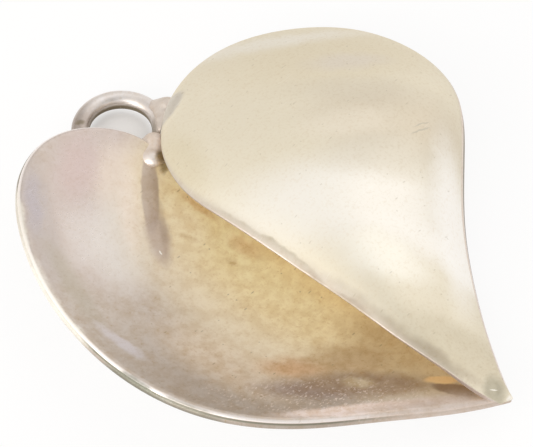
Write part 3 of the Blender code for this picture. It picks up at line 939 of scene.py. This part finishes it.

# Tarnish on the shell, with painted highlights and shade. Each patch is its place, size, turn,
# softness and strength, and then its finish, as silver reads them
SHELL_PATCHES = (
    (16.0, -6.0, 9.0, 4.0, -35, 0.5, 0.9, (0.75, 0.67, 0.51), 0.5, 0.6, 0.05),
    (14.0, -1.0, 7.0, 0.9, -36, 0.7, 0.7, (0.84, 0.80, 0.72), 0.5, 0.6, 0.05),
    (12.5, -15.0, 6.5, 3.5, -50, 0.5, 0.9, (0.69, 0.61, 0.48), 0.5, 0.6, 0.05),
    (13.5, -11.0, 5.5, 1.5, -50, 0.7, 0.5, (0.67, 0.60, 0.48), 0.5, 0.6, 0.05),
    (9.6, -12.6, 3.4, 1.5, -38, 0.7, 0.4, (0.90, 0.83, 0.70), 0.48, 0.6, 0.05),
    (-1.5, -4.0, 3.5, 1.8, 60, 0.6, 0.7, (0.70, 0.62, 0.45), 0.5, 0.6, 0.05),
    # A painted highlight across the middle of the dome
    (4.0, -18.5, 9.5, 4.0, -47, 0.55, 0.85, (0.89, 0.85, 0.78), 0.42, 0.6, 0.02),
    (9.0, -17.0, 4.4, 2.0, -42, 0.7, 0.7, (0.70, 0.64, 0.53), 0.46, 0.6, 0.02),
    # Painted highlights low on the dome and down its right edge
    (1.5, -23.5, 3.5, 1.8, -60, 0.6, 0.8, (0.94, 0.90, 0.80), 0.45, 0.6, 0.02),
    (7.5, -27.5, 5.5, 1.6, -58, 0.8, 0.7, (0.96, 0.93, 0.88), 0.42, 0.6, 0.02),
    (9.4, -24.3, 6.8, 1.5, 45, 0.6, 0.9, (0.97, 0.94, 0.89), 0.45, 0.5, 0.02),
    # Painted shade by the tip
    (0.5, -33.0, 5.5, 2.2, -70, 0.45, 0.9, (0.65, 0.58, 0.44), 0.5, 0.6, 0.1),
    # Painted shade in bands behind the free edge
    (-3.1, -22.8, 3.4, 0.6, -84, 0.8, 0.6, (0.52, 0.46, 0.38), 0.5, 0.6, 0.2),
    (-2.3, -30.0, 5.5, 0.6, -79, 0.8, 0.8, (0.45, 0.38, 0.28), 0.5, 0.6, 0.2),
    (-3.5, -16.5, 8.5, 0.24, -89, 0.5, 0.85, (0.46, 0.42, 0.32), 0.5, 0.6, 0.4),
    (15.5, -7.5, 3.0, 1.0, -40, 0.7, 0.35, (0.70, 0.64, 0.62), 0.5, 0.6, 0.0),
    (13.4, -17.3, 1.0, 0.07, -10, 0.4, 0.5, (0.46, 0.42, 0.34), 0.5, 0.6, 0.0),
    (14.0, -16.9, 0.8, 0.06, -14, 0.4, 0.5, (0.46, 0.42, 0.34), 0.5, 0.6, 0.0),
    (2.5, 1.3, 2.2, 0.8, 5, 0.2, 0.85, (0.62, 0.57, 0.50), 0.4, 0.8, 0.0),
    # Painted shade in the dent at the tip, and painted highlights on the dent and on the tip
    (-0.5, -36.8, 1.5, 0.85, 41, 0.45, 0.85, (0.44, 0.40, 0.30), 0.4, 0.6, 0.1),
    (-0.5, -36.75, 0.3, 0.06, -50, 0.3, 0.7, (0.95, 0.92, 0.84), 0.3, 0.6, 0.0),
    (-0.35, -38.3, 0.35, 0.25, 0, 0.5, 0.6, (0.95, 0.92, 0.86), 0.4, 0.6, 0.0),
)
# More painted shade: a dark stretch over the band behind the free edge
SHELL_EDGE_SHADE = (
    (-3.5, -22.4, 3.5, 0.3, -86, 0.6, 0.8, (0.42, 0.35, 0.27), 0.5, 0.4, 0.2),
)
# The dish: rosy at its left, gold in the pocket, brown and then pale along its lower edge, with
# painted light in places
DISH_PATCHES = (
    (-7.0, 0.0, 9.0, 5.5, 40, 0.4, 1.0, (0.56, 0.48, 0.44), 0.32, 0.65, 0.1),
    (-4.6, 0.0, 3.4, 2.4, 44, 0.5, 0.9, (0.68, 0.58, 0.50), 0.32, 0.65, 0.1),
    (-9.2, -4.2, 4.5, 2.6, 45, 0.5, 0.9, (0.65, 0.60, 0.55), 0.32, 0.65, 0.05),
    (-11.5, -1.9, 3.0, 1.8, 45, 0.7, 0.5, (0.70, 0.65, 0.61), 0.32, 0.6, 0.05),
    # A pale band beside the dark stripe from the cleft: a painted reflection of the studio's light
    (-5.9, -2.4, 3.6, 1.0, 44, 0.6, 0.8, (0.78, 0.68, 0.63), 0.34, 0.6, 0.1),
    (-6.6, 3.1, 2.8, 1.5, 30, 0.7, 0.7, (0.58, 0.46, 0.43), 0.32, 0.65, 0.1),
    (-13.3, 1.3, 7.0, 1.3, 52, 0.5, 0.8, (0.49, 0.43, 0.40), 0.32, 0.65, 0.05),
    (-12.3, 2.8, 2.6, 0.7, 45, 0.7, 0.6, (0.44, 0.40, 0.43), 0.3, 0.65, 0.0),
    # Painted shade in the fold along the lower left
    (-15.9, -4.6, 4.3, 0.9, 69, 0.6, 0.55, (0.45, 0.40, 0.32), 0.35, 0.6, 0.1),
    (-12.3, -19.0, 6.0, 2.8, 95, 0.6, 0.85, (0.80, 0.68, 0.54), 0.4, 0.4, 0.6),
    # Gold in the pocket: yellow tarnish, and a painted reflection of the shell's underside
    (-0.8, -17.5, 16.5, 10.2, 94, 0.25, 1.0, (0.88, 0.77, 0.58), 0.5, 0.1, 0.4),
    (0.6, -16.5, 15.8, 7.6, 90, 0.3, 0.9, (1.0, 0.86, 0.55), 0.5, 0.0, 0.6),
    (-1.2, -12.0, 9.0, 3.2, 88, 0.7, 0.8, (1.0, 0.91, 0.58), 0.5, 0.0, 0.5),
    (3.0, -17.5, 13.0, 4.6, 90, 0.4, 0.8, (0.97, 0.78, 0.42), 0.5, 0.0, 0.45),
    (-1.5, -28.3, 5.5, 3.4, 88, 0.5, 0.65, (0.64, 0.51, 0.31), 0.45, 0.2, 0.5),
    (-6.6, -25.2, 3.0, 1.2, -55, 0.6, 0.5, (0.62, 0.45, 0.27), 0.4, 0.3, 0.8),
    # A dark stripe from the cleft: a painted reflection of the shell's free edge
    (-6.3, -5.6, 2.6, 1.0, 52, 0.4, 0.8, (0.54, 0.45, 0.40), 0.33, 0.5, 0.3),
    (-3.55, -2.2, 3.9, 0.72, 43, 0.15, 0.8, (0.51, 0.42, 0.36), 0.35, 0.4, 0.4),
    (-4.9, -4.6, 3.0, 0.3, 49, 0.5, 0.3, (0.40, 0.30, 0.22), 0.35, 0.4, 0.3),
    # A painted glint
    (-7.3, -6.65, 0.25, 0.07, 80, 0.3, 0.9, (1.0, 0.98, 0.94), 0.3, 0.4, 0.0),
    # More gold by the stripe: tarnish and painted reflection
    (-3.7, -6.3, 2.6, 1.4, 70, 0.7, 0.6, (1.0, 0.90, 0.68), 0.5, 0.0, 0.5),
    (-1.5, -5.7, 1.7, 0.35, -88, 0.7, 0.7, (0.76, 0.52, 0.24), 0.45, 0.0, 0.8),
    (-4.4, -7.2, 0.6, 0.25, -70, 0.9, 0.5, (0.66, 0.47, 0.22), 0.45, 0.0, 0.8),
    (-3.6, -11.4, 0.4, 0.25, -60, 0.9, 0.5, (0.66, 0.47, 0.22), 0.45, 0.0, 0.8),
    (-1.8, -11.1, 1.4, 0.6, -80, 0.7, 0.5, (0.80, 0.56, 0.30), 0.45, 0.0, 0.6),
    # Painted shade in the hollow under the shell at the cleft
    (-0.7, -1.3, 0.7, 0.3, 30, 0.5, 0.8, (0.30, 0.23, 0.10), 0.4, 0.3, 0.5),
    (-5.2, -25.2, 3.2, 1.5, -55, 0.6, 0.6, (0.62, 0.46, 0.27), 0.4, 0.3, 0.6),
    (-9.3, -22.6, 2.4, 1.2, -55, 0.7, 0.75, (0.70, 0.44, 0.24), 0.4, 0.3, 0.8),
    (-10.2, -25.7, 4.2, 1.2, -50, 0.6, 0.9, (0.40, 0.31, 0.27), 0.38, 0.4, 0.6),
    (-6.4, -28.4, 5.2, 1.4, -50, 0.45, 0.88, (0.42, 0.31, 0.22), 0.4, 0.4, 0.6),
    (-6.8, -27.6, 1.2, 0.6, -49, 0.6, 0.75, (0.74, 0.64, 0.46), 0.4, 0.3, 0.8),
    # A painted highlight on the lip along the lower edge
    (-9.3, -30.2, 6.8, 0.75, -37, 0.4, 1.0, (0.94, 0.80, 0.74), 0.4, 0.2, 0.6),
    (-2.15, -34.2, 2.1, 0.65, -64, 0.2, 0.95, (0.35, 0.25, 0.17), 0.4, 0.4, 0.3),
    # An orange painted reflection near the tip
    (-2.1, -32.5, 1.35, 0.45, -52, 0.3, 0.9, (0.92, 0.66, 0.34), 0.4, 0.2, 0.0),
    # A pale lilac streak, a painted reflection
    (-17.6, -11.4, 2.4, 0.5, -88, 0.5, 0.6, (0.68, 0.64, 0.68), 0.34, 0.6, 0.0),
)
# Short nicks near the lower edge, painted bright as glints
DISH_SPARKLE = (-11.0, -26.3, 8.0, 2.2, -45, 0.6, 0.75)
# The rim's finishes by level: polished and lightened as a painted highlight, sawn, and painted
# shade in the groove
RIM_WEAR_AND_PAINTED_LIGHT = (
    ((0.90, 0.83, 0.79), 0.36, 0.6, 0.0),
    ((0.44, 0.38, 0.33), 0.4, 0.6, 0.5),
    ((0.20, 0.19, 0.14), 0.5, 0.3, 0.0),
)
# The rim, dark at its lower left, with cream painted highlights at its left and painted shade near
# the tip
RIM_TONES_AND_PAINTED_LIGHT = (
    # A cream painted highlight on the left
    (-19.5, -7.6, 2.3, 0.5, 75, 0.5, 0.7, (0.80, 0.77, 0.69), 0.4, 0.5, 0.1),
    (-20.6, -15.2, 3.6, 0.55, 92, 0.3, 0.8, (0.16, 0.16, 0.12), 0.4, 0.4, 0.2),
    (-19.95, -19.8, 4.4, 0.6, -72, 0.3, 0.7, (0.20, 0.19, 0.15), 0.4, 0.4, 0.3),
    # More cream painted highlights along the left
    (-18.6, -3.0, 8.5, 1.0, 66, 0.5, 0.9, (0.90, 0.86, 0.78), 0.35, 0.6, 0.1),
    (-15.15, 1.6, 5.0, 0.4, 50, 0.4, 0.7, (0.80, 0.76, 0.68), 0.4, 0.5, 0.1),
    # Painted shade over the rim and lip near the tip
    (-4.0, -35.2, 7.0, 1.5, -36, 0.6, 0.85, (0.60, 0.51, 0.45), 0.45, 0.4, 0.4),
)
# The ring: painted shade at its left end and at its right, darker near the cleft, and a small
# painted shadow
RING_PATCHES = (
    # Painted shade where the left end passes under the lobe
    (-1.8, 7.0, 2.1, 2.1, 0, 0.6, 0.95, (0.42, 0.36, 0.32), 0.34, 0.85, 0.2),
    # Painted shade over a highlight on the inner top at the right
    (2.7, 4.8, 1.6, 0.8, -40, 0.6, 0.6, (0.52, 0.46, 0.42), 0.4, 0.6, 0.3),
    (2.0, 2.1, 1.1, 0.4, 41, 0.5, 0.7, (0.32, 0.27, 0.20), 0.4, 0.5, 0.3),
    # A small painted shadow at the lobe's edge
    (-1.5, 7.43, 0.4, 0.25, -49, 0.6, 0.8, (0.22, 0.18, 0.12), 0.4, 0.5, 0.3),
)
# The cleft's solder, duller at the top, with painted shade in its hollow
BEAD_PATCHES = (
    (0.3, 1.0, 1.6, 1.3, 0, 0.4, 0.9, (0.77, 0.67, 0.59), 0.45, 0.5, 0.4),
    # Painted shade in the hollow
    (-0.45, -0.7, 0.6, 0.45, 40, 0.5, 0.8, (0.40, 0.32, 0.17), 0.45, 0.4, 0.8),
)
# Base finishes, and the finishes that paint shade on the shell's edge and on the wire's inner side
DISH = ((0.55, 0.48, 0.42), 0.36, 0.55, 0.5)
SATIN = ((0.775, 0.705, 0.56), 0.48, 0.6, 0.05)
# Painted shade on the band behind the shell's free edge, and on that edge's face, dimming its
# highlight
EDGE_SHADE_BAND = ((0.62, 0.55, 0.46), 0.45, 0.6, 0.2)
SHELL_EDGE = ((0.56, 0.48, 0.43), 0.4, 0.7, 0.0)
POCKET_ROOF = ((1.0, 0.90, 0.68), 0.5, 0.0, 0.3)
BACK = ((0.78, 0.73, 0.66), 0.4, 0.8, 0.15)
RING_WIRE = ((0.80, 0.75, 0.72), 0.34, 0.85, 0.3)
# Painted shade on the wire's inner side
RING_INNER_SHADE = ((0.20, 0.16, 0.10), 0.45, 0.5, 0.3)
SOLDER = ((0.69, 0.61, 0.54), 0.38, 0.7, 0.1)
BEAD = ((0.80, 0.73, 0.68), 0.36, 0.6, 0.05)
TIP_SOLDER = ((0.60, 0.52, 0.44), 0.5, 0.5, 0.2)

dish_finish = silver(
    "dish_finish", DISH, DISH_PATCHES, RIM_WEAR_AND_PAINTED_LIGHT, RIM_TONES_AND_PAINTED_LIGHT, DISH_SPARKLE, marks=0.3
)
back_finish = silver("back_finish", BACK, worn_and_shaded=RIM_WEAR_AND_PAINTED_LIGHT, overlays=RIM_TONES_AND_PAINTED_LIGHT)
shell_finish = silver(
    "shell_finish", SATIN, SHELL_PATCHES, (EDGE_SHADE_BAND, SHELL_EDGE), SHELL_EDGE_SHADE
)
roof_finish = silver("pocket_finish", POCKET_ROOF, worn_and_shaded=(EDGE_SHADE_BAND, SHELL_EDGE))
ring_finish = silver("ring_finish", RING_WIRE, RING_PATCHES, (RING_INNER_SHADE,), grain=0.0)
solder_finish = silver("solder_finish", SOLDER, grain=0.02, marks=0.1)
bead_finish = silver("bead_finish", BEAD, BEAD_PATCHES, grain=0.02, marks=0.1)
tip_finish = silver("tip_finish", TIP_SOLDER, grain=0.02, marks=0.1)

# Each piece, the node that it replaces, its material slot in the record and its finishes
dressed = (
    (sheet, "back_sheet", "polished_silver", (dish_finish, back_finish)),
    (shell, "front_shell", "satin_silver", (shell_finish, roof_finish)),
    (ring, "hanging_ring", "wire_silver", (ring_finish,)),
    (seam, "seam_solder", "solder", (solder_finish,)),
    (cleft_bead, "cleft_solder", "solder", (bead_finish,)),
    (tip_lump, "tip_solder", "solder", (tip_finish,)),
    (right_fillet, "ring_solder_right", "solder", (solder_finish,)),
    (left_fillet, "ring_solder_left", "solder", (tip_finish,)),
)
for obj, replaced, slot, finishes in dressed:
    for finish in finishes:
        obj.data.materials.append(finish)
    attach(obj, "root")
    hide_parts(replaced)

camera()
floor()
world()
for soft_box in SOFT_BOXES:
    soft_light(*soft_box)

bpy.context.scene.view_settings.view_transform = "Standard"
